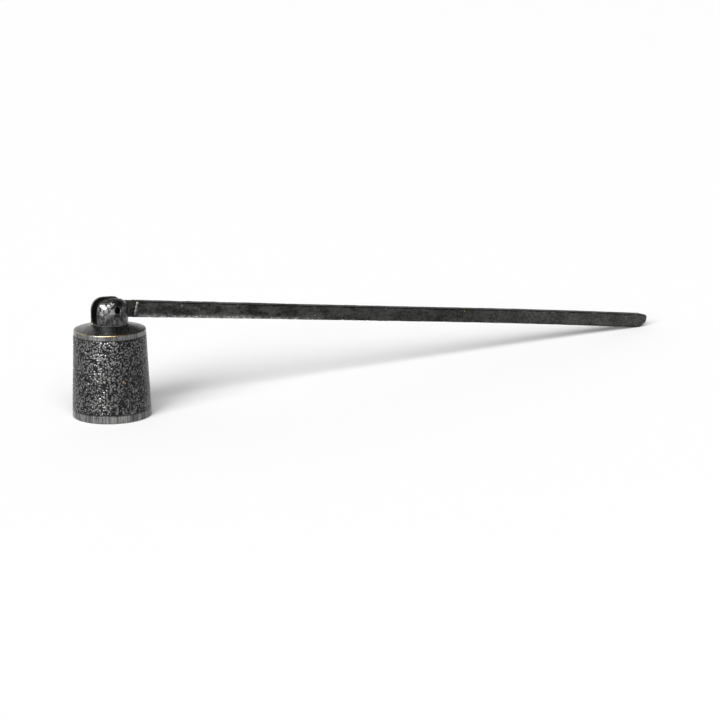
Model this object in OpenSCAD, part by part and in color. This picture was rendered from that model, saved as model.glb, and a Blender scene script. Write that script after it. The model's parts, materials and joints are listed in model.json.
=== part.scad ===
// Candle snuffer: a small tapered bell with a slotted, domed boss on top and a
// long bar handle hinged in the slot. Millimetres. Origin at the centre of the
// bell's mouth, on the surface it stands on, +Z up, handle towards +X.

/* [Bell] */
// Outside diameter of the bell at its mouth
bell_base_d = 25; // [24:0.5:32]
// Outside diameter of the bell at its upper rim
bell_top_d = 22.64; // [20:0.02:24]
// Height of the upper rim above the mouth
bell_h = 28; // [25:0.5:34]
// Wall thickness of the bell
bell_wall = 1.5; // [1:0.1:2.2]
// Thickness of the bell's top under the hinge boss
bell_top_t = 2.8; // [2.2:0.1:3.4]
// How far the shallow conical top rises from the rim to the boss
crown_rise = 1.4; // [0.8:0.1:2]
// Height of the plain turned band round the mouth
foot_band = 2.5; // [1.5:0.1:5]
// Height of the plain turned band under the upper rim
rim_band = 1.6; // [1:0.1:3]
// Depth of the turned lines that bound the two bands
line_depth = 0.12; // [0.05:0.01:0.25]
// Radius of the rounded outer edges
edge_r = 0.3; // [0.1:0.05:0.5]

/* [Hinge boss] */
// Diameter of the boss at its foot
boss_d = 11.6; // [10.8:0.1:13]
// Diameter of the boss where its dome starts
boss_neck_d = 11.56; // [10.2:0.02:12.6]
// Height of the boss from its foot to the crown of its dome
boss_h = 8.6; // [8.4:0.1:10]
// Height of the dome above the straight part of the boss
dome_h = 5.5; // [4.5:0.1:6]
// Width of the slot that the handle swings in
slot_w = 3.6; // [3:0.1:4.4]
// Thickness of the web left under the slot
slot_web = 0.9; // [0.8:0.1:1.2]
// Diameter of the threaded stud under the boss
stud_d = 4; // [3:0.5:5]

/* [Hinge] */
// Height of the hinge axis above the foot of the boss
pivot_rise = 5.4; // [5.2:0.1:6]
// Diameter of the hinge pin and of its holes in the ears
pin_d = 2; // [1.6:0.1:2.4]
// Radial running clearance of the pin in the tongue
pin_clear = 0.05; // [0.02:0.01:0.1]
// How far each end of the pin is sunk below the boss's side
pin_sunk = 1.3; // [0.4:0.1:2]

/* [Handle] */
// Length of the handle from the hinge axis to its tip
handle_l = 230; // [180:0.5:280]
// Thickness of the bar
bar_t = 4.2; // [3.8:0.1:5]
// Depth of the bar at its middle
bar_mid = 4.6; // [4.2:0.05:4.8]
// Depth of the bar at its two ends
bar_end = 5.1; // [4.4:0.05:5.2]
// How far the pin's hole sits above the bar's middle line
hole_rise = 0.27; // [0:0.01:0.4]
// Side clearance of the tongue in the slot
tongue_clear = 0.15; // [0.1:0.01:0.25]
// Distance from the hinge axis to the shoulder behind the tongue
shoulder_x = 8.3; // [7.6:0.1:12]
// Lean of the shoulder from square, in degrees
shoulder_lean = 8; // [0:1:12]
// Downward set of the bar towards its tip
tip_set = 0.8; // [0:0.1:2]

/* [Hidden] */
$fn = 96;

boss_z = bell_h + crown_rise;           // foot of the boss
pivot_z = boss_z + pivot_rise;          // height of the hinge axis
slot_z = boss_z + slot_web;             // floor of the slot
roof_z = boss_z - bell_top_t;           // inside of the bell's top
washer_t = 0.8;
nut_t = 2.2;
nut_af = 7;
stud_end = roof_z - washer_t - nut_t - 0.4;
tongue_t = slot_w - 2 * tongue_clear;

black = [0.17, 0.17, 0.175];
dark = [0.13, 0.13, 0.135];
steel = [0.25, 0.24, 0.22];
brass = [0.55, 0.45, 0.25];

// radius of the bell's outside at height z
function bell_r(z) = bell_base_d / 2 + (bell_top_d - bell_base_d) / 2 * z / bell_h;
// points of a quarter round of radius r about (cx, cy) from angle a to angle b
function arc(cx, cy, r, a, b, n = 6) = [for (i = [0:n]) [cx + r * cos(a + (b - a) * i / n), cy + r * sin(a + (b - a) * i / n)]];
// points of a quarter of an oval with half axes rx and ry
function oval(cx, cy, rx, ry, a, b, n = 8) = [for (i = [0:n]) [cx + rx * cos(a + (b - a) * i / n), cy + ry * sin(a + (b - a) * i / n)]];
// a turned V line in the bell's side at height z
function turned(z) = [[bell_r(z - 0.16), z - 0.16], [bell_r(z) - line_depth, z], [bell_r(z + 0.16), z + 0.16]];

module bell() {
    color(black)
    rotate_extrude()
    polygon(concat(
        [[bell_base_d / 2 - bell_wall, 0]],
        arc(bell_base_d / 2 - edge_r, edge_r, edge_r, -90, 0),
        turned(foot_band),
        turned(bell_h - rim_band),
        arc(bell_top_d / 2 - edge_r, bell_h - edge_r, edge_r, 0, 75),
        [[boss_d / 2 + 0.15, boss_z], [stud_d / 2 + 0.1, boss_z]],
        [[stud_d / 2 + 0.1, roof_z]],
        arc(bell_r(roof_z) - bell_wall - 1, roof_z - 1, 1, 90, 0)
    ));
}

// side of the boss's dome: a superellipse from the neck up to the crown
module boss_blank() {
    c = 0.8;
    rotate_extrude()
    polygon(concat(
        [[0, boss_z], [boss_d / 2 - 0.1, boss_z], [boss_d / 2, boss_z + 0.1]],
        [for (i = [0:14]) let (t = 90 * i / 14)
            [c + (boss_neck_d / 2 - c) * pow(cos(t), 0.64),
             boss_z + boss_h - dome_h + (dome_h - 0.12) * pow(sin(t), 0.64)]],
        [[0, boss_z + boss_h]]
    ));
}

module hinge_boss() {
    color(dark)
    difference() {
        union() {
            boss_blank();
            translate([0, 0, stud_end]) cylinder(d = stud_d, h = boss_z - stud_end + 0.5);
        }
        // the slot, open at both sides and on top
        translate([-boss_d, -slot_w / 2, slot_z]) cube([2 * boss_d, slot_w, boss_h + 2]);
        // the pin's holes in the two ears
        translate([0, boss_d, pivot_z]) rotate([90, 0, 0]) cylinder(d = pin_d, h = 2 * boss_d);
    }
}

module hinge_pin() {
    pin_l = boss_neck_d - 2 * pin_sunk;
    color(brass)
    translate([0, pin_l / 2, pivot_z]) rotate([90, 0, 0]) cylinder(d = pin_d, h = pin_l);
}

module lock_washer() {
    color(steel)
    translate([0, 0, roof_z - washer_t])
    difference() {
        cylinder(d = stud_d + 3.4, h = washer_t);
        translate([0, 0, -1]) cylinder(d = stud_d + 0.2, h = washer_t + 2);
    }
}

module stud_nut() {
    color(steel)
    translate([0, 0, roof_z - washer_t - nut_t])
    difference() {
        cylinder(d = nut_af / cos(30), h = nut_t, $fn = 6);
        translate([0, 0, -1]) cylinder(d = stud_d + 0.02, h = nut_t + 2);
    }
}

// Handle, drawn along +X from the hinge axis, then lowered to its resting droop
bend_x = 0.645 * handle_l;                                     // where the bar starts to set down
function bar_c(x) = -hole_rise - (x < bend_x ? 0 : tip_set * pow((x - bend_x) / (handle_l - bend_x), 2));
function bar_d(x) = bar_mid + (bar_end - bar_mid) * pow((x - handle_l / 2) / (handle_l / 2), 2);
tip_top = 0.29 * bar_end;                                      // rounding of the tip's upper corner
tip_len = 4.2;                                                 // length of the tip's lower rounding
tip_deep = 0.67 * bar_end;                                     // depth of the tip's lower rounding
low_x = handle_l - tip_len;
bar_segs = 28;
function bar_x(i, a, b) = a + (b - a) * i / bar_segs;
// droop that brings the tip's underside down to the surface the bell stands on
low_z = bar_c(low_x) - bar_d(low_x) / 2;
reach = sqrt(low_x * low_x + low_z * low_z);
rest_droop = asin(pivot_z / reach) - atan2(-low_z, low_x) - 0.018;

module bar_outline(x0, lean) {
    up = bar_d(x0) / 2 * tan(lean);
    xe = handle_l - tip_top;
    ce = bar_c(handle_l);
    polygon(concat(
        [for (i = [0:bar_segs]) let (x = bar_x(i, x0 + up, xe)) [x, bar_c(x) + bar_d(x) / 2]],
        oval(xe, bar_c(xe) + bar_d(xe) / 2 - tip_top, tip_top, tip_top, 75, 0),
        oval(low_x, bar_c(low_x) - bar_d(low_x) / 2 + tip_deep, tip_len, tip_deep, 0, -80),
        [for (i = [0:bar_segs]) let (x = bar_x(bar_segs - i, x0 - up, low_x)) [x, bar_c(x) - bar_d(x) / 2]]
    ));
}

module handle() {
    deep = bar_d(shoulder_x + 3) - 0.04;      // depth of the tongue, a hair inside the bar
    eye = deep / 2;
    color(black)
    translate([0, 0, pivot_z]) rotate([0, rest_droop, 0])
    difference() {
        union() {
            rotate([90, 0, 0]) linear_extrude(bar_t, center = true) bar_outline(shoulder_x, shoulder_lean);
            // tongue with its rounded eye
            rotate([90, 0, 0]) translate([0, -hole_rise, -tongue_t / 2]) cylinder(r = eye, h = tongue_t);
            translate([0, -tongue_t / 2, -hole_rise - deep / 2]) cube([shoulder_x + 3, tongue_t, deep]);
        }
        rotate([90, 0, 0]) translate([0, 0, -bar_t]) cylinder(r = pin_d / 2 + pin_clear, h = 2 * bar_t);
    }
}

bell();
hinge_boss();
hinge_pin();
handle();
stud_nut();
lock_washer();
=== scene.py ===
# Candle snuffer with a hinged bell: the looks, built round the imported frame.
import json
import math

import bpy
import bmesh
import numpy as np
from mathutils import Matrix, Vector


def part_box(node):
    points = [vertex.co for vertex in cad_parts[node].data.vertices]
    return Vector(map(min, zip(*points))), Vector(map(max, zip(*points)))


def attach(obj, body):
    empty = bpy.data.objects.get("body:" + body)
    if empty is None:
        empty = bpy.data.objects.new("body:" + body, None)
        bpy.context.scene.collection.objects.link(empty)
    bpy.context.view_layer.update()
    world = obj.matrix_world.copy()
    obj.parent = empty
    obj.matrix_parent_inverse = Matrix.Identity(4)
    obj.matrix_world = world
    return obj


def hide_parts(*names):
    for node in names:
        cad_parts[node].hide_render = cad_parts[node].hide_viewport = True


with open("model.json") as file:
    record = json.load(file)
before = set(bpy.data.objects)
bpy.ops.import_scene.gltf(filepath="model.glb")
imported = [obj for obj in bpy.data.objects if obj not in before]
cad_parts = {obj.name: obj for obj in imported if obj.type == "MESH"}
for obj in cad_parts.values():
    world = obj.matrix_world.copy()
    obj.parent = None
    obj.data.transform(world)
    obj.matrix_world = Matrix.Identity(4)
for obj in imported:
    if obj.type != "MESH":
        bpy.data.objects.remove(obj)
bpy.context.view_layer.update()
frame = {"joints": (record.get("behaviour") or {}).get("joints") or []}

MM = 0.001
joint = next(j for j in frame["joints"] if j["name"] == "handle_hinge")
PZ = float(joint["pos_m"][2]) / MM                      # height of the hinge axis, mm
bell_lo, bell_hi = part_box("bell")
handle_lo, handle_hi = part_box("handle")
boss_lo, boss_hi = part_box("hinge_boss")

# ---------------------------------------------------------------- noise
class Noise:
    """Gradient noise in three dimensions, about -1 to 1, the same on every run."""

    def __init__(self, seed):
        r = np.random.RandomState(seed)
        self.p = np.tile(r.permutation(256), 3)
        g = r.normal(size=(256, 3))
        self.g = g / np.linalg.norm(g, axis=1)[:, None]

    def __call__(self, P):
        P = np.asarray(P, float)
        i = np.floor(P).astype(np.int64)
        f = P - i
        w = f * f * f * (f * (f * 6 - 15) + 10)
        out = np.zeros(len(P))
        for dx in (0, 1):
            for dy in (0, 1):
                for dz in (0, 1):
                    n = self.p[(i[:, 0] + dx) & 255]
                    n = self.p[n + ((i[:, 1] + dy) & 255)]
                    n = self.p[n + ((i[:, 2] + dz) & 255)]
                    d = f - np.array([dx, dy, dz], float)
                    k = (
                        (w[:, 0] if dx else 1 - w[:, 0])
                        * (w[:, 1] if dy else 1 - w[:, 1])
                        * (w[:, 2] if dz else 1 - w[:, 2])
                    )
                    out += k * (self.g[n] * d).sum(1)
        return out * 1.6

    def fbm(self, P, octaves=3, gain=0.5):
        out, a, s = 0.0, 1.0, 1.0
        for k in range(octaves):
            out = out + a * self(np.asarray(P) * s + 17.3 * k)
            a *= gain
            s *= 2.03
        return out

    def cells(self, P, jitter=0.9):
        """Distances to the nearest and second nearest of one random point per unit cell."""
        P = np.asarray(P, float)
        i = np.floor(P).astype(np.int64)
        f1 = np.full(len(P), 9.0)
        f2 = np.full(len(P), 9.0)
        for dx in (-1, 0, 1):
            for dy in (-1, 0, 1):
                for dz in (-1, 0, 1):
                    n = self.p[(i[:, 0] + dx) & 255]
                    n = self.p[n + ((i[:, 1] + dy) & 255)]
                    n = self.p[n + ((i[:, 2] + dz) & 255)]
                    c = i + np.array([dx, dy, dz]) + 0.5 + self.g[n] * 0.5 * jitter
                    d = np.linalg.norm(P - c, axis=1)
                    f2 = np.where(d < f1, f1, np.minimum(f2, d))
                    f1 = np.minimum(f1, d)
        return f1, f2


def step(a, b, x):
    t = np.clip((np.asarray(x, float) - a) / (b - a), 0, 1)
    return t * t * (3 - 2 * t)


# ---------------------------------------------------------------- mesh helpers
def new_object(name, verts_mm, faces, smooth=True):
    me = bpy.data.meshes.new(name)
    me.from_pydata((np.asarray(verts_mm, float) * MM).tolist(), [], faces if isinstance(faces, list) else faces.tolist())
    me.validate()
    me.update()
    if smooth:
        me.polygons.foreach_set("use_smooth", [True] * len(me.polygons))
    ob = bpy.data.objects.new(name, me)
    bpy.context.scene.collection.objects.link(ob)
    return ob


def attribute(ob, name, values):
    a = ob.data.attributes.new(name, "FLOAT", "POINT")
    a.data.foreach_set("value", np.asarray(values, np.float32))


def grid_faces(rows, cols, closed=True):
    """Quads of a grid of rows x cols vertices, the columns wrapping round when closed."""
    i = np.arange(rows - 1)[:, None]
    j = np.arange(cols if closed else cols - 1)[None, :]
    k = (j + 1) % cols
    return np.stack([i * cols + j, i * cols + k, (i + 1) * cols + k, (i + 1) * cols + j], -1).reshape(-1, 4)


def vertices(ob):
    v = np.empty(len(ob.data.vertices) * 3)
    ob.data.vertices.foreach_get("co", v)
    return v.reshape(-1, 3) / MM


def set_vertices(ob, v):
    ob.data.vertices.foreach_set("co", (np.asarray(v, float) * MM).ravel())
    ob.data.update()


def normals(ob):
    n = np.empty(len(ob.data.vertices) * 3)
    ob.data.vertices.foreach_get("normal", n)
    return n.reshape(-1, 3)


# ---------------------------------------------------------------- bell
R0, R1, H = 12.5, 11.32, float(bell_hi[2]) / MM - 1.4
BOSS_Z = H + 1.4
ROOF = BOSS_Z - 2.8
COLS = 470
# where the viewer of the rest view stands, for placing single marks round the bell
TOWARD = np.array([-0.4635, -0.8861])
ACROSS = np.array([0.8861, -0.4635])


def bell_radius(z):
    return R0 + (R1 - R0) * z / H


def turn_angle(x, z):
    """The angle round the axis of a mark x mm to the right of the axis as seen from the front, at height z."""
    b = math.asin(x / bell_radius(z))
    d = TOWARD * math.cos(b) + ACROSS * math.sin(b)
    return math.atan2(d[1], d[0])


def build_bell():
    prof, kind = [], []          # kind: 0 hidden or inside, 1 side, 2 top, 3 rolled edge

    def add(pts, k):
        for p in pts:
            prof.append(p)
            kind.append(k)

    ri = lambda z: bell_radius(z) - 1.5
    # inside, from the stud hole outwards and down to the mouth
    add([(2.1, BOSS_Z - 0.4), (2.1, ROOF + 0.15), (2.25, ROOF)], 0)
    add([(r, ROOF) for r in np.linspace(2.9, ri(ROOF) - 1.0, 5)], 0)
    add([(ri(ROOF) - 1 + math.sin(t), ROOF - 1 + math.cos(t)) for t in np.linspace(0.25, math.pi / 2, 5)], 0)
    add([(ri(z), z) for z in np.linspace(ROOF - 2.2, 0.25, 10)], 0)
    add([(R0 - 1.5 + 0.05, 0.08), (R0 - 1.5 + 0.18, 0.0), (R0 - 0.9, 0.0), (R0 - 0.45, 0.0)], 0)
    add([(R0 - 0.32 + 0.32 * math.sin(t), 0.32 - 0.32 * math.cos(t)) for t in np.linspace(0.25, math.pi / 2 - 0.05, 6)], 3)
    add([(bell_radius(z), z) for z in np.linspace(0.45, H - 0.36, 152)], 1)
    add([(R1 - 0.26 + 0.26 * math.cos(t), H - 0.26 + 0.26 * math.sin(t)) for t in np.linspace(0.1, 1.3, 6)], 3)
    top = [(r, H + 1.4 * (11.1 - r) / (11.1 - 5.7)) for r in np.linspace(10.9, 5.6, 16)]
    add(top, 2)
    add([(5.2, BOSS_Z), (2.2, BOSS_Z)], 0)
    prof, kind = np.array(prof), np.array(kind)
    rows = len(prof)
    # outward normal of the profile
    d = np.gradient(prof, axis=0)
    n = np.stack([d[:, 1], -d[:, 0]], 1)
    n /= np.linalg.norm(n, axis=1)[:, None]
    th = np.linspace(0, 2 * np.pi, COLS, endpoint=False)
    r = np.repeat(prof[:, 0], COLS)
    z = np.repeat(prof[:, 1], COLS)
    t = np.tile(th, rows)
    k = np.repeat(kind, COLS)
    P = np.stack([r * np.cos(t), r * np.sin(t), z], 1)
    nr, nz = np.repeat(n[:, 0], COLS), np.repeat(n[:, 1], COLS)
    N = np.stack([nr * np.cos(t), nr * np.sin(t), nz], 1)

    h = np.zeros(len(P))
    wear = np.zeros(len(P))
    side = k == 1
    S = P[side]
    zs, ts = z[side], t[side]
    body = step(2.45, 2.75, zs) * (1 - step(H - 1.95, H - 1.65, zs))
    n1, n2, n3, n4 = Noise(11), Noise(12), Noise(13), Noise(14)
    # cast skin: small domes and worm-like ridges about half a millimetre across
    f1, f2 = n1.cells(S / 0.70 + 0.40 * np.stack([n2(S / 0.9), n3(S / 0.9), n4(S / 0.9)], 1))
    skin = 0.16 * (0.50 - f1) + 0.14 * (np.minimum(f2 - f1, 0.30) - 0.15)
    skin += 0.075 * n2.fbm(S / 0.55, 2)
    # rougher round the middle of the front, calmer towards the lower right
    calm = step(-2.0, 6.0, S[:, :2] @ ACROSS - 0.25 * (zs - 14))
    patch = (0.80 + 0.45 * step(-0.5, 0.6, n3(S / 4.5))) * (1 - 0.45 * calm)
    broad = 0.07 * n4.fbm(S / 6.5, 2)
    hs = body * (skin * patch) + 0.6 * broad * body
    # flow lines running down the lower part of the wall
    low = body * step(10.0, 4.0, zs) * step(-4.0, 1.0, S[:, :2] @ ACROSS)
    hs += low * 0.05 * n4(np.stack([ts * 22 + 0.10 * zs, zs * 0.22, 0 * zs], 1))
    # craters
    rs = np.random.RandomState(5)
    for _ in range(420):
        ct, cz = rs.uniform(0, 2 * np.pi), rs.uniform(2.8, H - 2.1)
        rad, dep = rs.uniform(0.16, 0.42), rs.uniform(0.03, 0.10)
        da = (ts - ct + np.pi) % (2 * np.pi) - np.pi
        near = (np.abs(zs - cz) < rad * 1.6) & (np.abs(da) * 12 < rad * 1.6)
        q = np.hypot(da[near] * 12, zs[near] - cz) / rad
        hs[near] += dep * (-np.exp(-q * q * 1.8) + 0.30 * np.exp(-((q - 1.05) ** 2) * 12))
    # brushed lines round the plain bands
    bands = 1 - body
    hs += bands * 0.006 * n1(np.stack([ts * 55, zs * 0.35, 0 * zs], 1))
    # the turned lines that bound the bands
    for zl, dep in ((2.5, 0.10), (H - 1.72, 0.12)):
        wob = zl + 0.06 * n2(np.stack([np.cos(ts) * 2, np.sin(ts) * 2, 0 * ts + zl], 1))
        hs -= dep * np.exp(-(((zs - wob) / 0.13) ** 2))
        hs += 0.05 * np.exp(-(((zs - wob + (0.26 if zl < 10 else -0.26)) / 0.12) ** 2))
    # file marks and knocks
    marks = [
        # x0, z0, x1, z1, depth, width, wear
        (-5.7, 20.9, -1.2, 20.7, 0.05, 0.15, 1.0),
        (-8.4, 22.6, -6.6, 21.9, 0.05, 0.16, 0.8),
        (3.6, 12.6, 5.6, 8.6, -0.03, 0.16, 0.25),
        (4.6, 13.0, 6.4, 10.2, -0.03, 0.14, 0.25),
        (2.6, 9.6, 4.4, 6.0, -0.03, 0.16, 0.2),
        (5.4, 9.6, 6.6, 5.0, -0.03, 0.16, 0.2),
        (-1.5, 19.2, 2.9, 19.9, 0.02, 0.12, 0.3),
        (-7.6, 17.0, -6.6, 13.5, -0.03, 0.16, 0.1),
    ]
    ws = np.zeros(len(S))
    for x0, z0, x1, z1, dep, wid, w in marks:
        t0, t1 = turn_angle(x0, z0), turn_angle(x1, z1)
        a = np.stack([((ts - t0 + np.pi) % (2 * np.pi) - np.pi) * 12, zs - z0], 1)
        b = np.array([((t1 - t0 + np.pi) % (2 * np.pi) - np.pi) * 12, z1 - z0])
        u = np.clip((a @ b) / (b @ b), 0, 1)
        dist = np.linalg.norm(a - u[:, None] * b, axis=1)
        near = dist < 4 * wid
        dist = dist[near] + 0.05 * n3(S[near] / 0.4)
        g = np.exp(-((dist / wid) ** 2))
        hs[near] += dep * g
        ws[near] = np.maximum(ws[near], w * g)
    h[side] = hs
    shade = np.zeros(len(P))
    shade[side] = hs - 0.6 * broad * body + 0.012 * n3.fbm(S / 2.2, 2)
    # worn spots where the brass shows
    gold = np.zeros(len(S))
    for x0, z0, rad in ((3.75, 13.2, 0.42), (4.35, 12.65, 0.26)):
        t0 = turn_angle(x0, z0)
        q = np.hypot(((ts - t0 + np.pi) % (2 * np.pi) - np.pi) * 12 * 1.0, zs - z0) / rad
        gold = np.maximum(gold, np.exp(-(q ** 2)))
    full = np.zeros(len(P))
    full[side] = gold
    wear[side] = np.clip(ws, 0, 1)
    # rim: the upper edge is rubbed through to the brass, more in some places than others
    rim = np.exp(-(((z - (H - 0.08)) / 0.125) ** 2)) * ((k == 3) | (k == 2) | (k == 1))
    arcn = n1.fbm(np.stack([np.cos(t) * 3.2, np.sin(t) * 3.2, 0 * t + 4], 1), 3)
    side_on = P[:, :2] @ ACROSS
    less = 1 - 0.62 * step(3.5, 8.5, side_on) - 0.35 * step(-8.0, -10.8, side_on)
    full = np.maximum(full, rim * np.clip(0.98 + 0.55 * arcn, 0.0, 1.1) * less)
    # little unevenness on the top and the rolled edges
    topm = k == 2
    h[topm] = 0.015 * n2.fbm(P[topm] / 3.0, 2) + 0.004 * n1.fbm(P[topm] / 0.5, 2)
    edge = k == 3
    h[edge] = 0.02 * n2.fbm(P[edge] / 1.2, 2)
    ins = (k == 0) & (z < ROOF - 0.5) & (z > 0.2)
    h[ins] = 0.02 * n4.fbm(P[ins] / 2.5, 2)
    P = P + N * h[:, None]
    ob = new_object("bell_shell", P, grid_faces(rows, COLS))
    ob.data.flip_normals()
    attribute(ob, "height", shade)
    attribute(ob, "gold", np.clip(full, 0, 1))
    attribute(ob, "rub", wear)
    bandmask = np.ones(len(P))
    groove = np.zeros(len(zs))
    for zl in (2.5, H - 1.72):
        groove = np.maximum(groove, np.exp(-(((zs - zl) / 0.17) ** 2)))
    bandmask[side] = (1 - body) * (1 - 0.9 * groove)
    attribute(ob, "plain", bandmask)
    tone_and_painted_light = np.ones(len(P))
    tone_and_painted_light *= 1 - 0.35 * ((k == 0) & (z < BOSS_Z - 0.2) & (z > 0.1))
    # painted light and shade: the side wall is painted lighter in the middle of the near side and darker towards its
    # right side, as the light falls there; the upper band is darker except towards the right, and the top is a little
    # darker
    upper = step(H - 2.2, H - 1.6, z[side])
    painted_light_and_shade = 1 + 0.14 * np.exp(-(((side_on[side] + 1.0) / 4.5) ** 2)) - 0.26 * step(4.5, 11.0, side_on[side])
    tone_and_painted_light[side] *= painted_light_and_shade * (1 - upper) + (0.88 + 0.14 * step(4.0, 9.0, side_on[side])) * upper
    tone_and_painted_light[k == 2] *= 0.92
    attribute(ob, "tone_and_painted_light", tone_and_painted_light)
    attribute(ob, "hue", step(-3.0, 3.0, P[:, :2] @ ACROSS))
    return ob


# ---------------------------------------------------------------- boss, shaped from a distance function
def sd_profile(r, z, poly):
    """Signed distance to a closed polygon in the (r, z) plane, negative inside."""
    best = np.full(len(r), 1e9)
    inside = np.zeros(len(r), bool)
    for (x0, y0), (x1, y1) in zip(poly, poly[1:] + poly[:1]):
        ex, ey = x1 - x0, y1 - y0
        u = np.clip(((r - x0) * ex + (z - y0) * ey) / max(ex * ex + ey * ey, 1e-12), 0, 1)
        best = np.minimum(best, (r - x0 - u * ex) ** 2 + (z - y0 - u * ey) ** 2)
        cross = (y0 > z) != (y1 > z)
        with np.errstate(divide="ignore", invalid="ignore"):
            xi = (x1 - x0) * (z - y0) / (y1 - y0 if y1 != y0 else 1e-12) + x0
        inside ^= cross & (r < xi)
    d = np.sqrt(best)
    return np.where(inside, -d, d)


def soft_max(a, b, k):
    h = np.clip(0.5 + 0.5 * (a - b) / k, 0, 1)
    return b + (a - b) * h + k * h * (1 - h)


def soft_min(a, b, k):
    return -soft_max(-a, -b, k)


SLOT_W, SLOT_Z = 3.6, BOSS_Z + 0.9
STUD_END = ROOF - 0.8 - 2.2 - 0.4


def boss_profile():
    c, top = 0.8, BOSS_Z + 8.6
    pts = [(-3.0, BOSS_Z + 0.02), (5.66, BOSS_Z + 0.02), (5.8, BOSS_Z + 0.16)]
    for i in range(37):
        t = math.pi / 2 * i / 36
        pts.append((c + (5.78 - c) * max(math.cos(t), 0) ** 0.64, top - 5.5 + 5.38 * math.sin(t) ** 0.64))
    pts += [(0.0, top), (-3.0, top)]
    return pts


BOSS_PROFILE = boss_profile()
nb1, nb2, nb3 = Noise(31), Noise(32), Noise(33)


def boss_distance(P):
    x, y, z = P[:, 0], P[:, 1], P[:, 2]
    r = np.hypot(x, y)
    blank = sd_profile(r, z, BOSS_PROFILE)
    # filed flats and dents that catch the light
    blank = blank + 0.10 * nb1.fbm(P / 3.1, 2) * step(BOSS_Z + 0.3, BOSS_Z + 1.4, z) - 0.02
    # the slot, of even width
    wide = SLOT_W / 2 + 0.0 * z
    slot = np.maximum(np.abs(y) - wide, SLOT_Z - z)
    eye = np.hypot(x, z - PZ) - 1.0
    eye = np.maximum(eye, np.abs(y) - 9)
    body = soft_max(blank, -slot, 0.42)
    body = soft_max(body, -eye, 0.22)
    # threaded stud
    ang = np.arctan2(y, x)
    ph = ((z / 0.7 - ang / (2 * np.pi)) % 1.0)
    thread = 0.20 * np.abs(2 * ph - 1) * (1 - step(BOSS_Z - 2.9, BOSS_Z - 2.2, z))
    stud = np.maximum(np.maximum(r - 1.98 + thread, STUD_END - z), z - BOSS_Z - 0.5)
    cone = (r + (STUD_END - z) + 0.0 - 1.6) * 0.7071
    stud = np.maximum(stud, cone)
    return soft_min(body, stud, 0.12)


def surface_nets(fn, lo, hi, cell):
    """A closed quad mesh of fn = 0, one vertex per cell that the surface crosses, placed at the mean of its edge
    crossings.
    """
    n = np.ceil((np.array(hi) - np.array(lo)) / cell).astype(int) + 1
    ax = [lo[i] + cell * np.arange(n[i]) for i in range(3)]
    X, Y, Z = np.meshgrid(*ax, indexing="ij")
    F = fn(np.stack([X.ravel(), Y.ravel(), Z.ravel()], 1)).reshape(X.shape)
    neg = F < 0
    c = [slice(0, -1), slice(1, None)]
    corners = np.stack([neg[c[a], c[b], c[d]] for a in (0, 1) for b in (0, 1) for d in (0, 1)], -1)
    mixed = corners.any(-1) & ~corners.all(-1)
    index = -np.ones(mixed.shape, int)
    ids = np.argwhere(mixed)
    index[mixed] = np.arange(len(ids))
    verts = np.array(lo) + (ids + 0.5) * cell
    # start from the mean of the edge crossings
    acc = np.zeros((len(ids), 3))
    cnt = np.zeros(len(ids))
    for axis in range(3):
        o1, o2 = [a for a in range(3) if a != axis]
        for p in (0, 1):
            for q in (0, 1):
                a = ids.copy(); a[:, o1] += p; a[:, o2] += q
                b = a.copy(); b[:, axis] += 1
                fa, fb = F[a[:, 0], a[:, 1], a[:, 2]], F[b[:, 0], b[:, 1], b[:, 2]]
                s = (fa < 0) != (fb < 0)
                u = np.where(s, fa / np.where(s, fa - fb, 1), 0)
                pt = np.array(lo) + a * cell
                pt[:, axis] += u * cell
                acc[s] += pt[s]
                cnt[s] += 1
    verts = acc / cnt[:, None]
    faces = []
    for axis in range(3):
        o1, o2 = (axis + 1) % 3, (axis + 2) % 3
        sl0 = [slice(None)] * 3; sl1 = [slice(None)] * 3
        sl0[axis] = slice(0, -1); sl1[axis] = slice(1, None)
        change = neg[tuple(sl0)] != neg[tuple(sl1)]
        e = np.argwhere(change)
        e = e[(e[:, o1] > 0) & (e[:, o2] > 0) & (e[:, o1] < n[o1] - 1) & (e[:, o2] < n[o2] - 1)]
        inside_first = neg[e[:, 0], e[:, 1], e[:, 2]]
        q = []
        for s1, s2 in ((-1, -1), (0, -1), (0, 0), (-1, 0)):
            k = e.copy(); k[:, o1] += s1; k[:, o2] += s2
            q.append(index[k[:, 0], k[:, 1], k[:, 2]])
        q = np.stack(q, 1)
        q[~inside_first] = q[~inside_first][:, ::-1]
        faces.append(q)
    faces = np.concatenate(faces)
    return verts, faces


def settle(fn, V, steps=4, h=0.01):
    for _ in range(steps):
        f = fn(V)
        g = np.stack([(fn(V + e) - fn(V - e)) / (2 * h) for e in np.eye(3) * h], 1)
        V = V - np.clip(f / np.maximum((g * g).sum(1), 0.2), -0.08, 0.08)[:, None] * g
    return V


def relax(V, F, amount=0.5):
    """Each vertex moves part way to the mean of its neighbours."""
    acc = np.zeros_like(V)
    cnt = np.zeros(len(V))
    for a, b in ((0, 1), (1, 2), (2, 3), (3, 0)):
        for p, q in ((a, b), (b, a)):
            np.add.at(acc, F[:, p], V[F[:, q]])
            np.add.at(cnt, F[:, p], 1)
    return V + amount * (acc / np.maximum(cnt, 1)[:, None] - V)


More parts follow.
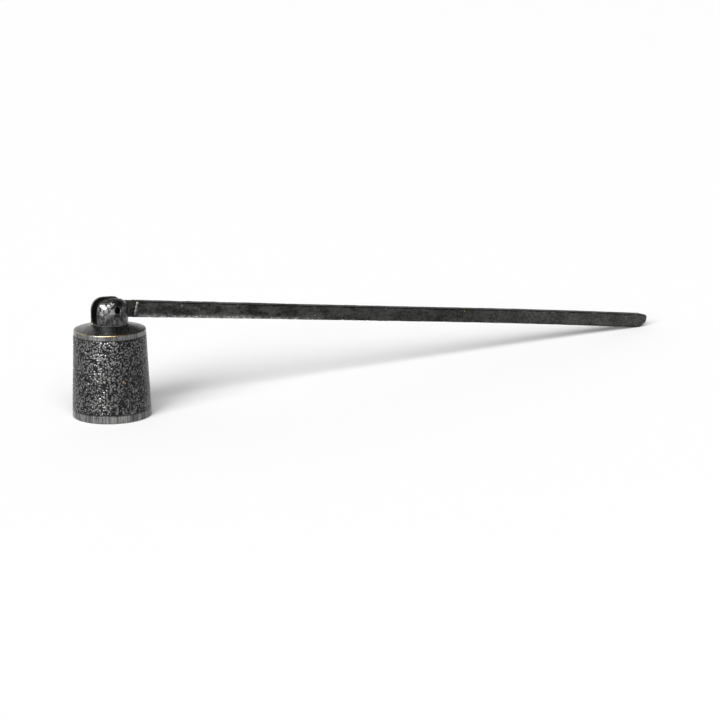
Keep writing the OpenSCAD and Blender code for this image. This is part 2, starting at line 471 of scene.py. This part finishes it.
def make_boss():
    V, F = surface_nets(boss_distance, (-6.3, -6.3, STUD_END - 0.3), (6.3, 6.3, BOSS_Z + 9.0), 0.13)
    for _ in range(2):
        V = settle(boss_distance, relax(V, F, 0.6), 2)
    V = settle(boss_distance, V, 2)
    ob = new_object("boss_body", V, F)
    N = normals(ob)
    outer = step(BOSS_Z + 0.05, BOSS_Z + 0.6, V[:, 2]) * step(SLOT_W / 2 + 0.05, SLOT_W / 2 + 0.5, np.abs(V[:, 1]))
    f1, f2 = nb2.cells(V / np.array([1.25, 1.25, 1.6]))
    hammer = 0.17 * (f1 ** 2 - 0.30)
    fine = 0.018 * nb3.fbm(V / np.array([0.5, 0.5, 0.9]), 2)
    h = outer * (hammer * (0.4 + 0.6 * step(-0.3, 0.5, nb1(V / 2.4))) + fine)
    # two small casting pits beside the pin hole
    for x0, z0, rad, dep in ((-1.55, PZ + 1.75, 0.28, 0.16), (-1.0, PZ + 1.95, 0.2, 0.1), (-2.9, PZ - 1.2, 0.22, 0.1), (0.1, PZ - 1.9, 0.3, 0.08)):
        q = np.hypot(V[:, 0] - x0, V[:, 2] - z0) / rad
        h -= dep * np.exp(-q * q) * (V[:, 1] < -2)
    V2 = V + N * h[:, None]
    set_vertices(ob, V2)
    attribute(ob, "height", h)
    # edges of the ears, worn bright
    r = np.hypot(V[:, 0], V[:, 1])
    slot_edge = np.exp(-(((np.abs(V[:, 1]) - SLOT_W / 2 - 0.12) / 0.16) ** 2)) * step(SLOT_Z + 0.2, SLOT_Z + 0.8, V[:, 2]) * (r > 4.4)
    foot = np.exp(-(((V[:, 2] - BOSS_Z - 0.25) / 0.16) ** 2)) * (r > 5.2)
    # handled bright on the shoulder of each ear
    worn = 0.0 * r
    for cx, cy, cz, rad in ((-3.5, -4.0, 36.0, 2.6), (-1.8, -5.0, 35.2, 1.6), (2.2, 3.6, 36.6, 2.4), (-2.6, 3.8, 36.2, 1.8)):
        q = np.linalg.norm((V - np.array([cx, cy, cz])) * np.array([1, 1, 0.85]), axis=1) / rad
        worn = np.maximum(worn, np.exp(-q ** 4))
    worn *= step(-0.75, 0.15, nb3.fbm(V / 1.3, 3)) * outer
    streak = step(0.05, 0.75, nb2.fbm(V / np.array([0.9, 0.9, 2.2]), 3)) * outer
    attribute(ob, "rub", np.clip(0.6 * slot_edge + 0.5 * foot + 1.0 * worn + 0.30 * streak, 0, 1))
    # painted shade: the right side of the boss, towards the handle, is painted darker
    attribute(ob, "tone_and_painted_light", 1 - 0.30 * step(1.5, 4.5, V[:, 0]))
    attribute(ob, "hue", 0 * r)
    # brass shows at the foot of the slot, where the tongue has knocked it
    q = np.linalg.norm(V - np.array([-5.70, 1.05, BOSS_Z + 0.55]), axis=1)
    attribute(ob, "gold", np.exp(-((q / 0.62) ** 2)))
    attribute(ob, "plain", 1 - outer)
    return ob


# ---------------------------------------------------------------- handle
L = 230.0
TIP_TOP, TIP_LEN, TIP_DEEP = 1.479, 4.2, 3.417
HOLE_RISE = 0.27


def bar_c(x):
    b = 0.645 * L
    return -HOLE_RISE - np.where(x < b, 0.0, 0.8 * ((x - b) / (L - b)) ** 2)


def bar_d(x):
    return 4.6 + 0.50 * ((x - L / 2) / (L / 2)) ** 2


def cad_droop():
    """The droop at rest: the angle that brings the tip's underside to the table."""
    low_x = L - TIP_LEN
    low_z = float(bar_c(np.array(low_x))) - float(bar_d(np.array(low_x))) / 2
    reach = math.hypot(low_x, low_z)
    return math.asin(PZ / reach) - math.atan2(-low_z, low_x) - math.radians(0.018)


def make_handle():
    n1, n2, n3 = Noise(51), Noise(52), Noise(53)
    eye = float(bar_d(np.array(11.3))) / 2 - 0.02
    tt, bt = 1.65, 2.1
    # stations along the bar
    xs = list(-eye * np.cos(np.linspace(0.12, math.pi / 2, 12)))
    xs += list(np.linspace(0.3, 7.3, 26))
    xs += list(np.linspace(7.5, 9.3, 26))
    xs += list(np.arange(9.5, L - 8.0, 0.42))
    xs += list(L - 8.0 + 7.85 * np.sin(np.linspace(0.0, math.pi / 2, 36)[1:]))
    xs = np.array(xs)
    m = 17                                     # points along each flat
    ca = 7                                     # points round each corner
    sections = []
    for x in xs:
        d = float(bar_d(np.array(max(x, 0.0))))
        c = float(bar_c(np.array(x)))
        top, bot = c + d / 2 + 0.05, c - d / 2 - 0.08
        if x < 8.3:
            top, bot = c + eye, c - eye
        if x < 0:
            hgt = math.sqrt(max(eye * eye - x * x, 0.02))
            top, bot = c + hgt, c - hgt
        # rounded tip
        u = (x - (L - TIP_TOP)) / TIP_TOP
        if u > 0:
            top = top - TIP_TOP + TIP_TOP * math.sqrt(max(1 - u * u, 0.0))
        u = (x - (L - TIP_LEN)) / TIP_LEN
        if u > 0:
            bot = bot + TIP_DEEP - TIP_DEEP * math.sqrt(max(1 - u * u, 0.0))
        half = bt
        u = (x - (L - 0.7)) / 0.7
        if u > 0:
            half = bt - 0.7 + 0.7 * math.sqrt(max(1 - u * u, 0.0))
        # corner radii: the lower edge is the more rubbed, most of all towards the tip
        rt = 0.38
        rb = 0.62 + 0.42 * math.exp(-((x - 25) / 40) ** 2) + 1.25 * float(step(L - 85, L - 35, x))
        bot -= 0.20 * float(step(L - 90, L - 45, x)) * (1 - float(step(L - 18, L - 7, x)))
        # the corner of the shoulder is eased
        u = (x - 8.28) / 0.42
        if 0 <= u < 1:
            half = bt - 0.32 * (1 - math.sqrt(1 - (1 - u) ** 2))
        if x < 8.28:
            half, rt, rb = tt, 0.16, 0.16
        rt = min(rt, (top - bot) * 0.4, half * 0.6)
        rb = min(rb, (top - bot) * 0.45, half * 0.85)
        sections.append((x, top, bot, half, rt, rb))
    # section outline from the middle of the top edge round: parameter order front (-y) first
    rows = []
    for x, top, bot, half, rt, rb in sections:
        pts = []
        for cy, cz, rad, a0 in (
            (-half + rt, top - rt, rt, 90), (-half + rb, bot + rb, rb, 180),
            (half - rb, bot + rb, rb, 270), (half - rt, top - rt, rt, 0),
        ):
            arc = [(cy + rad * math.cos(math.radians(a0 + 90 * i / ca)), cz + rad * math.sin(math.radians(a0 + 90 * i / ca))) for i in range(ca + 1)]
            pts.append(arc)
        ring = []
        for i in range(4):
            ring += pts[i]
            a, b = np.array(pts[i][-1]), np.array(pts[(i + 1) % 4][0])
            k = m if i in (0, 2) else 9
            ring += [tuple(a + (b - a) * j / k) for j in range(1, k)]
        rows.append([(x, y, z) for y, z in ring])
    A = np.array(rows)
    nrow, ncol = A.shape[:2]
    # the shoulder's slope: stations there lean with height
    lean = math.tan(math.radians(8))
    w = np.exp(-(((xs - 8.3) / 1.6) ** 4))[:, None]
    A[:, :, 0] += w * lean * A[:, :, 2]
    V = A.reshape(-1, 3)
    F = grid_faces(nrow, ncol)
    # end caps
    caps = []
    for row in (0, nrow - 1):
        base = row * ncol
        ring = [base + i for i in range(ncol)]
        caps.append(ring if row == 0 else ring[::-1])
    ob = new_object("handle_bar_body", V, [list(map(int, f)) for f in F] + caps)
    bm = bmesh.new()
    bm.from_mesh(ob.data)
    bmesh.ops.recalc_face_normals(bm, faces=bm.faces)
    bm.to_mesh(ob.data)
    bm.free()
    V = vertices(ob)
    N = normals(ob)
    x = V[:, 0]
    barm = step(8.6, 9.4, x)
    # forging ripples, stretched along the bar, fading towards the tip
    Q = V * np.array([0.55, 1.0, 1.0])
    rip = 0.030 * n1.fbm(Q / 1.1, 2) + 0.045 * n2.fbm(V / np.array([7.0, 3.0, 3.0]), 2)
    f1, f2 = n3.cells(V * np.array([0.6, 1, 1]) / 1.3)
    rip += 0.030 * (f1 - 0.5)
    fade = 1 - 0.45 * step(60, 200, x) + 0.55 * (1 - step(35, 95, x))
    h = barm * rip * fade + (1 - barm) * 0.010 * n1.fbm(V / 0.7, 2)
    # knocks along the lower front edge
    low = np.exp(-(((V[:, 2] - (bar_c(x) - bar_d(x) / 2)) / 0.55) ** 2))
    nick = n2(np.stack([x / 1.15, 0 * x, 0 * x + 3], 1))
    h -= barm * low * 0.12 * step(0.05, 0.5, nick) * (1 - 0.6 * step(70, 150, x))
    eye_zone = x < 7.0
    h[eye_zone] *= 0.3
    V2 = V + N * h[:, None]
    dz = cad_droop()
    cs, sn = math.cos(dz), math.sin(dz)
    W = np.stack([V2[:, 0] * cs + V2[:, 2] * sn, V2[:, 1], PZ - V2[:, 0] * sn + V2[:, 2] * cs], 1)
    W[:, 2] = np.maximum(W[:, 2], 0.0)
    set_vertices(ob, W)
    # masks
    c, d = bar_c(x), bar_d(x)
    zz = V[:, 2] - c
    corner = np.minimum(np.abs(np.abs(zz) - d / 2 + 0.12), 9) + np.minimum(np.abs(np.abs(V[:, 1]) - 2.1 + 0.12), 9)
    edge = np.exp(-((corner / 0.28) ** 2)) * barm
    sho = np.exp(-(((x - 8.48 - lean * V[:, 2]) / 0.34) ** 2)) * (np.abs(V[:, 1]) > 1.75)
    patches = step(0.0, 0.7, n3.fbm(np.stack([x / 3.0, V[:, 1], V[:, 2] * 1.5], 1), 2))
    lowe = edge * (zz < 0)
    near = 1 - step(45, 95, x)
    wide = np.exp(-((np.maximum(zz + d / 2, 0) / 0.75) ** 2)) * barm * near
    specks = step(0.10, 0.45, n1.fbm(V / np.array([0.9, 0.5, 0.5]), 2))
    rub = 0.40 * wide + 1.4 * wide * specks * (0.5 + 0.5 * patches) + 0.5 * lowe * patches * (1 - near)
    rub += 0.35 * edge * (zz > 0) * patches + 0.50 * sho * (0.55 + 0.6 * patches)
    attribute(ob, "rub", np.clip(rub, 0, 1))
    attribute(ob, "hue", 0 * x + 0.6)
    gold = np.zeros(len(V))
    for gx, gz, gy, rad in ((25.2, 1.55, -2.1, 0.25), (77.0, -0.9, -2.1, 0.2), (8.9, 2.15, -2.1, 0.24), (141.0, 1.7, -2.1, 0.2), (60.0, -2.2, 2.1, 0.5), (120.0, 2.2, 2.1, 0.45), (26.0, 2.3, 2.0, 0.5)):
        q = np.sqrt(((x - gx) / 1.4) ** 2 + (zz - gz) ** 2 + (V[:, 1] - gy) ** 2) / rad
        gold = np.maximum(gold, np.exp(-q * q))
    attribute(ob, "gold", gold)
    attribute(ob, "height", h)
    attribute(ob, "plain", 1 - step(8.22, 8.32, x - lean * V[:, 2]))
    attribute(ob, "tone_and_painted_light", 1.0 - 0.12 * step(30, 80, x) + 0.55 * step(125, 222, x))
    # the hole that runs on the pin
    cut = bpy.data.meshes.new("pin_hole_tool")
    bm = bmesh.new()
    bmesh.ops.create_cone(bm, cap_ends=True, segments=64, radius1=1.05 * MM, radius2=1.05 * MM, depth=8 * MM, matrix=Matrix.Translation((0, 0, PZ * MM)) @ Matrix.Rotation(math.pi / 2, 4, "X"))
    bm.to_mesh(cut)
    bm.free()
    tool = bpy.data.objects.new("pin_hole_tool", cut)
    bpy.context.scene.collection.objects.link(tool)
    mod = ob.modifiers.new("hole", "BOOLEAN")
    mod.operation, mod.solver, mod.object = "DIFFERENCE", "EXACT", tool
    dg = bpy.context.evaluated_depsgraph_get()
    me = bpy.data.meshes.new_from_object(ob.evaluated_get(dg))
    ob.modifiers.clear()
    old = ob.data
    ob.data = me
    bpy.data.meshes.remove(old)
    bpy.data.objects.remove(tool)
    ob.data.name = "handle_bar_body"
    return ob


# ---------------------------------------------------------------- small hardware
def lathe(name, prof, cols=96):
    prof = np.array(prof, float)
    th = np.linspace(0, 2 * np.pi, cols, endpoint=False)
    V = np.stack([np.outer(prof[:, 0], np.cos(th)), np.outer(prof[:, 0], np.sin(th)), np.repeat(prof[:, 1][:, None], cols, 1)], -1).reshape(-1, 3)
    F = [list(map(int, f)) for f in grid_faces(len(prof), cols)]
    return V, F


def make_pin():
    half = (11.56 - 2.6) / 2
    prof = [(0.02, -half + 0.0), (0.35, -half + 0.01), (0.62, -half + 0.06), (0.84, -half + 0.16), (0.96, -half + 0.32), (0.995, -half + 0.5)]
    prof += [(0.995, z) for z in np.linspace(-half + 0.9, half - 0.9, 14)]
    prof += [(r, -z) for r, z in prof[5::-1]]
    V, F = lathe("pin", prof, 64)
    rows = len(prof)
    F += [[i for i in range(64)][::-1], [(rows - 1) * 64 + i for i in range(64)]]
    n = Noise(71)
    V = np.stack([V[:, 0], -V[:, 2], V[:, 1] + PZ], 1)
    V += 0.01 * n.fbm(V / 0.5, 2)[:, None] * np.array([0, 1, 0])
    ob = new_object("pin_body", V, F)
    bm = bmesh.new(); bm.from_mesh(ob.data)
    bmesh.ops.recalc_face_normals(bm, faces=bm.faces)
    bm.to_mesh(ob.data); bm.free()
    attribute(ob, "height", 0 * V[:, 0]); attribute(ob, "rub", 0 * V[:, 0]); attribute(ob, "gold", 0 * V[:, 0]); attribute(ob, "plain", 0 * V[:, 0] + 1); attribute(ob, "tone_and_painted_light", 0 * V[:, 0] + 1); attribute(ob, "hue", 0 * V[:, 0] + 1)
    return ob


def nut_distance(P):
    x, y, z = P[:, 0], P[:, 1], P[:, 2]
    z0, z1 = ROOF - 3.0, ROOF - 0.8
    hexd = np.max(np.stack([np.abs(x * math.cos(a) + y * math.sin(a)) for a in (math.pi / 6, math.pi / 2, 5 * math.pi / 6)]), 0) - 3.48
    r = np.hypot(x, y)
    ang = np.arctan2(y, x)
    slab = np.maximum(z0 - z, z - z1)
    d = soft_max(hexd, slab, 0.12)
    ch = np.maximum(r + (z - z1) * 1.6 - 3.55, r - (z - z0) * 1.6 - 3.55) * 0.53
    d = soft_max(d, ch, 0.06)
    bore = 2.02 - r
    d = soft_max(d, bore, 0.10)
    return d


def make_nut():
    V, F = surface_nets(nut_distance, (-4.4, -4.4, ROOF - 3.4), (4.4, 4.4, ROOF - 0.4), 0.14)
    for _ in range(2):
        V = settle(nut_distance, relax(V, F, 0.5), 2)
    ob = new_object("nut_body", V, F)
    n = Noise(81)
    N = normals(ob)
    h = 0.012 * n.fbm(V / 0.8, 2)
    set_vertices(ob, V + N * h[:, None])
    attribute(ob, "height", h); attribute(ob, "rub", 0.3 * step(0, 0.6, n(V / 1.0))); attribute(ob, "gold", 0 * h); attribute(ob, "plain", 0 * h + 1); attribute(ob, "tone_and_painted_light", 0 * h + 1); attribute(ob, "hue", 0 * h + 1)
    return ob


def make_washer():
    # a split spring washer: one turn, its ends set a little apart
    turns = np.linspace(math.radians(4), math.radians(356), 150)
    sec = []
    for a in np.linspace(0, 2 * math.pi, 24, endpoint=False):
        ca_, sa_ = math.cos(a), math.sin(a)
        sec.append((0.72 * np.sign(ca_) * abs(ca_) ** 0.35, 0.30 * np.sign(sa_) * abs(sa_) ** 0.35))
    V = []
    for t in turns:
        lift = 0.06 * (t / (2 * math.pi) - 0.5)
        for dr, dz in sec:
            r = 2.86 + dr
            V.append((r * math.cos(t), r * math.sin(t), ROOF - 0.40 + dz + lift))
    V = np.array(V)
    F = [list(map(int, f)) for f in grid_faces(len(turns), 24)]
    F += [[i for i in range(24)][::-1], [(len(turns) - 1) * 24 + i for i in range(24)]]
    ob = new_object("washer_body", V, F)
    bm = bmesh.new(); bm.from_mesh(ob.data)
    bmesh.ops.recalc_face_normals(bm, faces=bm.faces)
    bm.to_mesh(ob.data); bm.free()
    z = 0 * V[:, 0]
    attribute(ob, "height", z); attribute(ob, "rub", z); attribute(ob, "gold", z); attribute(ob, "plain", z + 1); attribute(ob, "tone_and_painted_light", z + 1); attribute(ob, "hue", z + 1)
    return ob


# ---------------------------------------------------------------- materials
class Tree:
    """Short calls for building a material's nodes."""

    def __init__(self, name):
        self.mat = bpy.data.materials.new(name)
        self.mat.use_nodes = True
        self.t = self.mat.node_tree
        self.bsdf = self.t.nodes["Principled BSDF"]
        self.x = -200

    def node(self, kind, **props):
        n = self.t.nodes.new(kind)
        for k, v in props.items():
            setattr(n, k, v)
        n.location = (self.x, 0)
        self.x -= 60
        return n

    def link(self, a, b):
        self.t.links.new(a, b)

    def put(self, sock, v):
        if isinstance(v, bpy.types.NodeSocket):
            self.link(v, sock)
        elif isinstance(v, (tuple, list)) and len(v) == 3 and sock.type == "RGBA":
            sock.default_value = (*v, 1.0)
        else:
            sock.default_value = v

    def coords(self):
        return self.node("ShaderNodeTexCoord").outputs["Object"]

    def scaled(self, vec, s):
        m = self.node("ShaderNodeMapping")
        self.link(vec, m.inputs["Vector"])
        m.inputs["Scale"].default_value = s if isinstance(s, (tuple, list)) else (s, s, s)
        return m.outputs["Vector"]

    def noise(self, vec, scale, detail=3.0, rough=0.55, distortion=0.0):
        n = self.node("ShaderNodeTexNoise")
        self.link(vec, n.inputs["Vector"])
        n.inputs["Scale"].default_value = scale
        n.inputs["Detail"].default_value = detail
        n.inputs["Roughness"].default_value = rough
        n.inputs["Distortion"].default_value = distortion
        return n.outputs["Fac"]

    def voronoi(self, vec, scale, feature="F1", out="Distance"):
        n = self.node("ShaderNodeTexVoronoi", feature=feature)
        self.link(vec, n.inputs["Vector"])
        n.inputs["Scale"].default_value = scale
        return n.outputs[out]

    def attr(self, name):
        n = self.node("ShaderNodeAttribute", attribute_name=name)
        return n.outputs["Fac"]

    def math(self, op, a, b=0.0, c=0.0, clamp=False):
        n = self.node("ShaderNodeMath", operation=op, use_clamp=clamp)
        for i, v in enumerate((a, b, c)):
            if i < len(n.inputs):
                self.put(n.inputs[i], v)
        return n.outputs[0]

    def ramp(self, fac, lo, hi, a=0.0, b=1.0):
        n = self.node("ShaderNodeMapRange", interpolation_type="SMOOTHSTEP", clamp=True)
        self.link(fac, n.inputs["Value"])
        for k, v in (("From Min", lo), ("From Max", hi), ("To Min", a), ("To Max", b)):
            n.inputs[k].default_value = v
        return n.outputs["Result"]

    def mix(self, fac, a, b):
        n = self.node("ShaderNodeMix", data_type="RGBA")
        self.put(n.inputs["Factor"], fac)
        self.put(n.inputs[6], a)
        self.put(n.inputs[7], b)
        return n.outputs[2]

    def mixf(self, fac, a, b):
        n = self.node("ShaderNodeMix", data_type="FLOAT")
        self.put(n.inputs["Factor"], fac)
        self.put(n.inputs[2], a)
        self.put(n.inputs[3], b)
        return n.outputs[0]

    def bump(self, height, strength, distance, normal=None):
        n = self.node("ShaderNodeBump")
        n.inputs["Strength"].default_value = strength
        n.inputs["Distance"].default_value = distance
        self.link(height, n.inputs["Height"])
        if normal is not None:
            self.link(normal, n.inputs["Normal"])
        return n.outputs["Normal"]


BRASS = (0.56, 0.36, 0.13)
BRASS_PALE = (0.72, 0.58, 0.32)
COPPER = (0.42, 0.21, 0.09)


def blackened(name, dark, light, rough, span, bumps, plain=None, rub_light=0.34, stretch=None, shares=(0.6, 0.9, 0.5), ramp=(0.12, 0.98)):
    """Blackened metal: a dark skin, greyer where raised or rubbed, brass where worn through.

    plain: (dark, light, roughness, streaks) for the parts whose "plain" mark is 1."""
    m = Tree(name)
    co = m.coords()
    v = m.scaled(co, stretch) if stretch else co
    hgt = m.ramp(m.attr("height"), -span, span)
    big = m.noise(v, 260.0, 3.0, 0.6)
    fine = m.noise(v, 2300.0, 2.0, 0.6)
    mid = m.noise(v, 900.0, 3.0, 0.6, 0.4)
    sh, sb, sf = shares
    t = m.math("MULTIPLY_ADD", hgt, sh, m.math("MULTIPLY_ADD", big, sb, 0.5 - 0.5 * (sh + sb + sf)))
    t = m.math("ADD", t, m.math("MULTIPLY", fine, sf), clamp=True)
    col = m.mix(m.ramp(t, ramp[0], ramp[1]), dark, light)
    ro = m.math("ADD", m.ramp(mid, 0.25, 0.75, rough - 0.08, rough + 0.12), m.math("MULTIPLY_ADD", fine, 0.14, -0.07))
    ro = m.math("SUBTRACT", ro, m.math("MULTIPLY_ADD", hgt, 0.10, -0.05))
    rub = m.attr("rub")
    rubn = m.math("MULTIPLY", rub, m.ramp(mid, 0.28, 0.60), clamp=True)
    col = m.mix(rubn, col, (rub_light, rub_light, rub_light * 0.98))
    if plain:
        pd, pl, pr, streaks = plain
        p = m.attr("plain")
        if streaks:
            lines = m.noise(m.scaled(co, (1.0, 1.0, 0.10)), 1900.0, 3.0, 0.65)
            wide = m.noise(m.scaled(co, (1.0, 1.0, 0.12)), 420.0, 2.0, 0.5)
            q = m.math("ADD", m.math("MULTIPLY", lines, 0.70), m.math("MULTIPLY", wide, 0.30))
        else:
            lines = None
            q = m.math("ADD", m.math("MULTIPLY", mid, 0.5), m.math("MULTIPLY", big, 0.6))
        col = m.mix(p, col, m.mix(m.ramp(q, 0.34, 0.66) if streaks else m.ramp(q, 0.42, 0.70), pd, pl))
        ro = m.mixf(p, ro, m.ramp(mid, 0.25, 0.75, pr - 0.06, pr + 0.08))
    gold = m.attr("gold")
    gm = m.ramp(m.math("ADD", gold, m.math("MULTIPLY_ADD", mid, 0.6, -0.30)), 0.42, 0.66)
    hue = m.math("MULTIPLY_ADD", m.noise(co, 500.0, 2.0, 0.5), 0.8, m.math("MULTIPLY_ADD", m.attr("hue"), 0.7, -0.35))
    gcol = m.mix(m.ramp(hue, 0.25, 0.65), BRASS_PALE, m.mix(m.ramp(fine, 0.35, 0.65), BRASS, COPPER))
    # the colour is scaled by a per-vertex factor, which on the bell and the boss holds painted light and shade
    tone_and_painted_light = m.node("ShaderNodeVectorMath", operation="SCALE")
    m.link(col, tone_and_painted_light.inputs[0])
    m.link(m.attr("tone_and_painted_light"), tone_and_painted_light.inputs["Scale"])
    col = m.mix(gm, tone_and_painted_light.outputs[0], gcol)
    m.link(col, m.bsdf.inputs["Base Color"])
    m.bsdf.inputs["Metallic"].default_value = 1.0
    ro = m.mixf(m.math("MAXIMUM", rubn, gm), ro, 0.27)
    m.link(m.math("MAXIMUM", ro, 0.12), m.bsdf.inputs["Roughness"])
    nrm = m.bump(fine, bumps[0], bumps[1])
    nrm = m.bump(mid, bumps[2], bumps[3], nrm)
    if plain and plain[3]:
        nrm = m.bump(m.math("MULTIPLY", lines, m.attr("plain")), 0.8, 0.00008, nrm)
    m.link(nrm, m.bsdf.inputs["Normal"])
    return m


mat_bell = blackened(
    "blackened_bell", (0.017, 0.017, 0.0172), (0.19, 0.19, 0.187), 0.27, 0.085, (0.5, 0.00003, 0.6, 0.00008),
    ((0.066, 0.066, 0.066), (0.27, 0.27, 0.265), 0.30, True), shares=(1.0, 0.20, 0.40), ramp=(0.32, 1.0),
)
mat_boss = blackened(
    "blackened_boss", (0.015, 0.015, 0.0165), (0.085, 0.085, 0.087), 0.21, 0.07, (0.3, 0.00002, 0.5, 0.00006),
    ((0.050, 0.050, 0.043), (0.12, 0.12, 0.105), 0.40, False), rub_light=0.46, shares=(0.8, 0.5, 0.4),
)
mat_bar = blackened(
    "blackened_bar", (0.016, 0.016, 0.0155), (0.076, 0.076, 0.073), 0.34, 0.06, (0.5, 0.00003, 0.6, 0.00006),
    ((0.016, 0.016, 0.016), (0.070, 0.070, 0.067), 0.36, False), stretch=(0.6, 1.0, 1.0), shares=(0.45, 0.15, 1.3), ramp=(0.10, 0.90), rub_light=0.62,
)
# the bar's skin is dull where it is seen edge on
mat_bar.bsdf.inputs["Specular Tint"].default_value = (0.40, 0.40, 0.40, 1.0)
mat_pin = blackened("pin_metal", (0.010, 0.010, 0.010), (0.03, 0.029, 0.027), 0.5, 0.05, (0.4, 0.00002, 0.4, 0.00004))
mat_nut = blackened("nut_metal", (0.14, 0.10, 0.045), (0.34, 0.25, 0.12), 0.40, 0.03, (0.4, 0.00002, 0.4, 0.00004))
mat_washer = blackened("washer_metal", (0.10, 0.10, 0.10), (0.26, 0.26, 0.255), 0.36, 0.03, (0.4, 0.00002, 0.4, 0.00004))


# ---------------------------------------------------------------- build
def place(ob, mat, body, node):
    ob.data.materials.clear()
    ob.data.materials.append(mat.mat)
    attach(ob, body)
    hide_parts(node)


bell = build_bell()
place(bell, mat_bell, "bell_head", "bell")
boss = make_boss()
place(boss, mat_boss, "bell_head", "hinge_boss")
pin = make_pin()
place(pin, mat_pin, "bell_head", "hinge_pin")
nut = make_nut()
place(nut, mat_nut, "bell_head", "stud_nut")
washer = make_washer()
place(washer, mat_washer, "bell_head", "lock_washer")
bar = make_handle()
place(bar, mat_bar, "handle_bar", "handle")


# ---------------------------------------------------------------- floor, light, camera
def floor():
    bm = bmesh.new()
    bmesh.ops.create_grid(bm, x_segments=1, y_segments=1, size=12.0)
    me = bpy.data.meshes.new("floor")
    bm.to_mesh(me)
    bm.free()
    ob = bpy.data.objects.new("floor", me)
    bpy.context.scene.collection.objects.link(ob)
    ob.location = (0, 0, -0.00005)
    m = Tree("floor_paper")
    m.bsdf.inputs["Base Color"].default_value = (0.90, 0.90, 0.90, 1)
    m.bsdf.inputs["Roughness"].default_value = 0.9
    m.bsdf.inputs["Specular IOR Level"].default_value = 0.2
    me.materials.append(m.mat)


floor()

YAW = math.radians(34.86)
E1 = Vector((math.cos(YAW), -math.sin(YAW), 0))        # to the right in the rest view
E2 = Vector((math.sin(YAW), math.cos(YAW), 0))         # away from the viewer
UP = Vector((0, 0, 1))


def at(right, away, up):
    return (E1 * right + E2 * away + UP * up) * MM


def from_side(left, elevation):
    """Unit vector towards a light so many degrees left of the viewer's side and so high."""
    a, e = math.radians(left), math.radians(elevation)
    return (-E1 * math.sin(a) - E2 * math.cos(a)) * math.cos(e) + UP * math.sin(e)


def sun(name, left, elevation, angle, floor_share):
    """A broad, even source; floor_share is the brightness it gives the floor."""
    d = bpy.data.lights.new(name, "SUN")
    d.angle = math.radians(angle)
    d.energy = floor_share * math.pi / (0.90 * math.sin(math.radians(elevation)))
    o = bpy.data.objects.new(name, d)
    bpy.context.scene.collection.objects.link(o)
    o.rotation_euler = (-from_side(left, elevation)).to_track_quat("-Z", "Y").to_euler()
    return o


sun("key", 29, 25, 34, 0.39)
sun("front", -4, 46, 46, 0.405)

world = bpy.data.worlds.new("studio")
bpy.context.scene.world = world
world.use_nodes = True
wt = world.node_tree
co = wt.nodes.new("ShaderNodeTexCoord")


def facing(direction, lo, hi):
    dot = wt.nodes.new("ShaderNodeVectorMath")
    dot.operation = "DOT_PRODUCT"
    wt.links.new(co.outputs["Generated"], dot.inputs[0])
    dot.inputs[1].default_value = tuple(direction)
    r = wt.nodes.new("ShaderNodeMapRange")
    r.interpolation_type = "SMOOTHSTEP"
    wt.links.new(dot.outputs["Value"], r.inputs["Value"])
    r.inputs["From Min"].default_value, r.inputs["From Max"].default_value = lo, hi
    return r.outputs["Result"]


# a pale backdrop behind the piece, a dim room round the rest
behind = facing(E2 * 0.80 - E1 * 0.60, 0.0, 0.85)
upward = facing(UP, 0.72, 0.28)
both = wt.nodes.new("ShaderNodeMath")
both.operation = "MULTIPLY"
wt.links.new(behind, both.inputs[0])
wt.links.new(upward, both.inputs[1])
level = wt.nodes.new("ShaderNodeMapRange")
wt.links.new(both.outputs[0], level.inputs["Value"])
level.inputs["To Min"].default_value, level.inputs["To Max"].default_value = 0.16, 0.92
# low down the backdrop is pale all round
low_down = facing(UP, 0.20, 0.05)
pale = wt.nodes.new("ShaderNodeMath")
pale.operation = "MULTIPLY"
wt.links.new(low_down, pale.inputs[0])
pale.inputs[1].default_value = 0.93
most = wt.nodes.new("ShaderNodeMath")
most.operation = "MAXIMUM"
wt.links.new(level.outputs["Result"], most.inputs[0])
wt.links.new(pale.outputs[0], most.inputs[1])
wt.links.new(most.outputs[0], wt.nodes["Background"].inputs["Strength"])
wt.nodes["Background"].inputs["Color"].default_value = (1, 1, 1, 1)

PITCH = math.radians(13.53)
cam = bpy.data.cameras.new("camera")
cam.sensor_width = 36.0
cam.lens = 2000.0 / 720.0 * 36.0
cam.clip_start = 0.01
cam.clip_end = 50
cam_ob = bpy.data.objects.new("camera", cam)
bpy.context.scene.collection.objects.link(cam_ob)
cam_ob.location = at(78.86, -615.05, 165.72)
look = E2 * math.cos(PITCH) - UP * math.sin(PITCH)
upv = E2 * math.sin(PITCH) + UP * math.cos(PITCH)
rot = Matrix((E1, upv, -look)).transposed()
cam_ob.rotation_euler = rot.to_euler()
bpy.context.scene.camera = cam_ob

bpy.context.scene.view_settings.view_transform = "Standard"
bpy.context.scene.view_settings.look = "None"
bpy.context.scene.view_settings.exposure = 0.0
